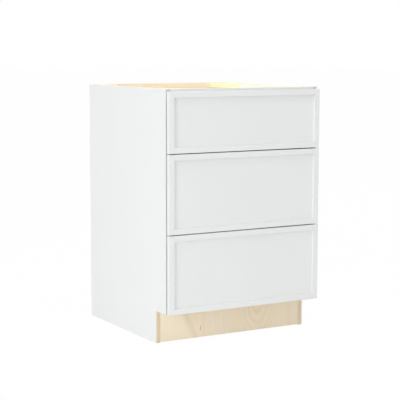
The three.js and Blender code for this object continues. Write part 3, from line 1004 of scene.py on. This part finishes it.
# ---- Locking clips -------------------------------------------------------------------------------
CLIP_LENGTH = 46.0 * MM
CLIP_WIDTH = 27.0 * MM
CLIP_HEIGHT = 12.0 * MM
CLIP_GAP = 2.0 * MM  # beside the drawer member
CLIP_CREASE = math.radians(40)
CLIP_PLATE = 4.0 * MM  # thickness of its plate under the drawer bottom
PLATE_EASING = 0.8 * MM
CLIP_BODY = (0.55, 0.8)  # the body below the plate, as shares of the clip's width and length
BODY_START = 3.0 * MM  # below the drawer bottom, inside the plate
BODY_EASING = 1.0 * MM
RIB_COUNT = 4
RIB_START = 6.0 * MM
RIB_PITCH = 8.0 * MM
RIB_THICKNESS = 1.6 * MM
RIB_ACROSS = (0.5, 0.9)  # from and to, as shares of the clip's width
RIB_TOP = 3.5 * MM
RIB_SHORT = 3.0 * MM  # how much less deep a rib is than the body
RIB_EASING = 0.4 * MM
LEVER_LENGTH = 20.0 * MM
LEVER_WIDTH = 12.0 * MM
LEVER_START = 3.0 * MM
LEVER_ROOT = 0.6  # where it leaves the body, as a share of the clip's width
LEVER_TOP = 4.5 * MM
LEVER_THICKNESS = 3.0 * MM
LEVER_DROP = 3.0 * MM  # how far the lever curves down to its tip
LEVER_STEPS = 6
LEVER_LAP = 1.4  # length of a step of the lever, which overlaps the next
LEVER_EASING = 0.7 * MM


def rounded_box(shape, low, high, radius):
    """Adds a box with all its edges rounded to the shape."""
    made = bmesh.ops.create_cube(shape, size=1.0)
    centre = (low + high) / 2
    span = high - low
    for vertex in made["verts"]:
        vertex.co = Vector(vertex.co[i] * span[i] + centre[i] for i in range(3))
    edges = list({edge for vertex in made["verts"] for edge in vertex.link_edges})
    bmesh.ops.bevel(shape, geom=edges, offset=radius, segments=2, profile=0.5, affect="EDGES")


def locking_clip(tier, hand, sign):
    """Holds a drawer to its runner, from under its bottom: a body with ribs and a curved lever."""
    member_low, member_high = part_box(f"{tier}_runner_drawer_{hand}")
    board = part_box(f"{tier}_drawer_front_board")[1].y
    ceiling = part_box(f"{tier}_drawer_bottom")[0].z
    near = (member_low.x if sign > 0 else -member_high.x) - CLIP_GAP
    shape = bmesh.new()

    def block(inwards, backwards, down, radius):
        """A rounded block, by its reach in from the runner, back from the board and down."""
        left, right = sorted(sign * (near - reach) for reach in inwards)
        low = Vector((left, board + backwards[0], ceiling - down[1]))
        high = Vector((right, board + backwards[1], ceiling - down[0]))
        rounded_box(shape, low, high, radius)

    width, length = CLIP_BODY
    block((0.0, CLIP_WIDTH), (0.0, CLIP_LENGTH), (0.0, CLIP_PLATE), PLATE_EASING)
    body = (0.0, CLIP_WIDTH * width), (0.0, CLIP_LENGTH * length), (BODY_START, CLIP_HEIGHT)
    block(*body, BODY_EASING)
    for rib in range(RIB_COUNT):
        start = RIB_START + RIB_PITCH * rib
        block(
            [CLIP_WIDTH * share for share in RIB_ACROSS],
            (start, start + RIB_THICKNESS),
            (RIB_TOP, CLIP_HEIGHT - RIB_SHORT),
            RIB_EASING,
        )
    for step in range(LEVER_STEPS):
        share = step / (LEVER_STEPS - 1)
        reach = CLIP_WIDTH * LEVER_ROOT + share * LEVER_LENGTH
        down = LEVER_TOP + LEVER_DROP * math.sin(share * math.pi / 2)
        block(
            (reach, reach + LEVER_LENGTH / LEVER_STEPS * LEVER_LAP),
            (LEVER_START, LEVER_START + LEVER_WIDTH),
            (down, down + LEVER_THICKNESS),
            LEVER_EASING,
        )
    for face in shape.faces:
        face.smooth = True
    name = f"{tier}_locking_clip_{hand}"
    mesh = mesh_of(name, shape)
    mesh.set_sharp_from_angle(angle=CLIP_CREASE)
    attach(new_piece(name, mesh, [CLIP_PLASTIC]), f"drawer_{tier}")


# ---- Making the cabinet --------------------------------------------------------------------------
def dress_cabinet():
    for hand, sign in HANDS.items():
        side_panel(hand, sign)
    flat_board("bottom_panel", [BARE["X"], VENEER["X"]], "Z", PLIES)
    flat_board("back_panel", [VENEER["Z"], BARE["Z"]], "Y", BACK_PLIES)
    flat_board("toe_kick_board", [TOE_FACE_WOOD, BARE["Z"]], "Y", PLIES)
    for end in ("top", "bottom"):
        flat_board(f"hanging_rail_{end}", [BARE["X"], BARE["X"]], "Y", PLIES)
    top_rail()
    corner_braces()
    for tier in TIERS:
        drawer_front(tier)
        drawer_box(tier)
        runners(tier)
        for hand, sign in HANDS.items():
            locking_clip(tier, hand, sign)
    runner_screws()
    front_screws()
    front_bumpers()
    staples()


dress_cabinet()


# ---- Floor, light and camera ---------------------------------------------------------------------
FLOOR_REACH = 60.0
FLOOR_MATT = (0.93, 0.93, 0.93, 1.0)
FLOOR_LIFT = 0.985  # share of plain white in the floor as seen; the rest keeps its shadows
PLAIN_WHITE = (1.0, 1.0, 1.0, 1.0)
WORLD_LIGHT = 0.45  # even light from all round


def cleared_tree(owner):
    owner.use_nodes = True
    owner.node_tree.nodes.clear()
    return Tree(owner.node_tree)


def seen_directly(tree):
    """1 for what the camera or a reflection sees, and 0 for the light itself."""
    path = tree.add("ShaderNodeLightPath")
    return tree.maths("MAXIMUM", path.outputs["Is Camera Ray"], path.outputs["Is Glossy Ray"])


def pale_floor():
    """A matt floor that looks almost plain white and keeps a trace of the cabinet's shadow."""
    shape = bmesh.new()
    bmesh.ops.create_circle(shape, cap_ends=True, radius=FLOOR_REACH, segments=64)
    material = bpy.data.materials.new("pale floor")
    tree = cleared_tree(material)
    share = tree.maths("MULTIPLY", seen_directly(tree), FLOOR_LIFT)
    matt = tree.add("ShaderNodeBsdfDiffuse", {"Color": FLOOR_MATT})
    glow = tree.add("ShaderNodeEmission", {"Color": PLAIN_WHITE})
    mixed = tree.add("ShaderNodeMixShader", {0: share, 1: matt.outputs[0], 2: glow.outputs[0]})
    tree.add("ShaderNodeOutputMaterial", {"Surface": mixed.outputs[0]})
    floor = new_piece("floor", mesh_of("floor", shape), [material])


def pale_world():
    """Even light from all round, and plain white where the camera or a reflection sees it."""
    world = bpy.data.worlds.new("pale studio")
    bpy.context.scene.world = world
    tree = cleared_tree(world)
    strength = tree.between(seen_directly(tree), 0.0, 1.0, WORLD_LIGHT, 1.0)
    sky = tree.add("ShaderNodeBackground", {"Color": PLAIN_WHITE, "Strength": strength})
    tree.add("ShaderNodeOutputWorld", {"Surface": sky.outputs[0]})


def softbox(name, place, target, width, height, power):
    """A flat lamp at a place, turned to a target. Its power is in watts."""
    lamp = bpy.data.lights.new(name, "AREA")
    lamp.shape = "RECTANGLE"
    lamp.size = width
    lamp.size_y = height
    lamp.energy = power
    light = bpy.data.objects.new(name, lamp)
    light.location = place
    light.rotation_mode = "QUATERNION"
    light.rotation_quaternion = (Vector(target) - Vector(place)).to_track_quat("-Z", "Y")
    bpy.context.scene.collection.objects.link(light)


def studio_lights():
    middle = (0.0, -0.3, 0.45)  # of the fronts
    toe_space, inside = (-0.2, -0.2, 0.06), (0.0, 0.1, 0.85)
    softbox("key from the left", (-7.0, -3.3, 2.9), middle, 2.8, 3.0, 222.0)
    softbox("left rear", (-3.4, 1.8, 1.5), middle, 2.0, 2.2, 9.0)
    softbox("overhead", (0.4, -1.2, 3.0), middle, 1.6, 1.6, 2.0)
    softbox("high front", (-0.3, -0.85, 3.0), middle, 2.0, 0.6, 15.0)
    softbox("front right", (1.6, -3.4, 1.4), middle, 2.0, 2.0, 11.0)
    softbox("low left", (-0.95, -1.55, 0.12), toe_space, 0.6, 0.2, 1.55)
    softbox("right fill", (5.0, 1.6, 1.8), middle, 2.4, 2.4, 45.0)
    softbox("above the open top", (0.0, -0.2, 1.95), inside, 0.7, 0.2, 4.6)


# The camera stands in front, to the left, and looks at the cabinet with a long lens.
CAMERA_PLACE = (-2.2422, -3.9113, 1.0149)
CAMERA_HEADING = math.radians(29.750)  # right of straight on
CAMERA_DIP = math.radians(7.047)
CAMERA_ROLL = math.radians(0.085)
CAMERA_LENS = 111.06  # mm, on the sensor below
SENSOR_WIDTH = 36.0


def camera():
    lens = bpy.data.cameras.new("camera")
    lens.lens = CAMERA_LENS
    lens.sensor_width = SENSOR_WIDTH
    lens.clip_end = 2 * FLOOR_REACH
    viewer = bpy.data.objects.new("camera", lens)
    viewer.location = CAMERA_PLACE
    aim = Euler((math.pi / 2 - CAMERA_DIP, 0.0, -CAMERA_HEADING)).to_matrix()
    viewer.rotation_euler = (aim @ Matrix.Rotation(CAMERA_ROLL, 3, "Z")).to_euler()
    bpy.context.scene.collection.objects.link(viewer)
    bpy.context.scene.camera = viewer


camera()
pale_floor()
pale_world()
studio_lights()
bpy.context.scene.view_settings.view_transform = "Standard"
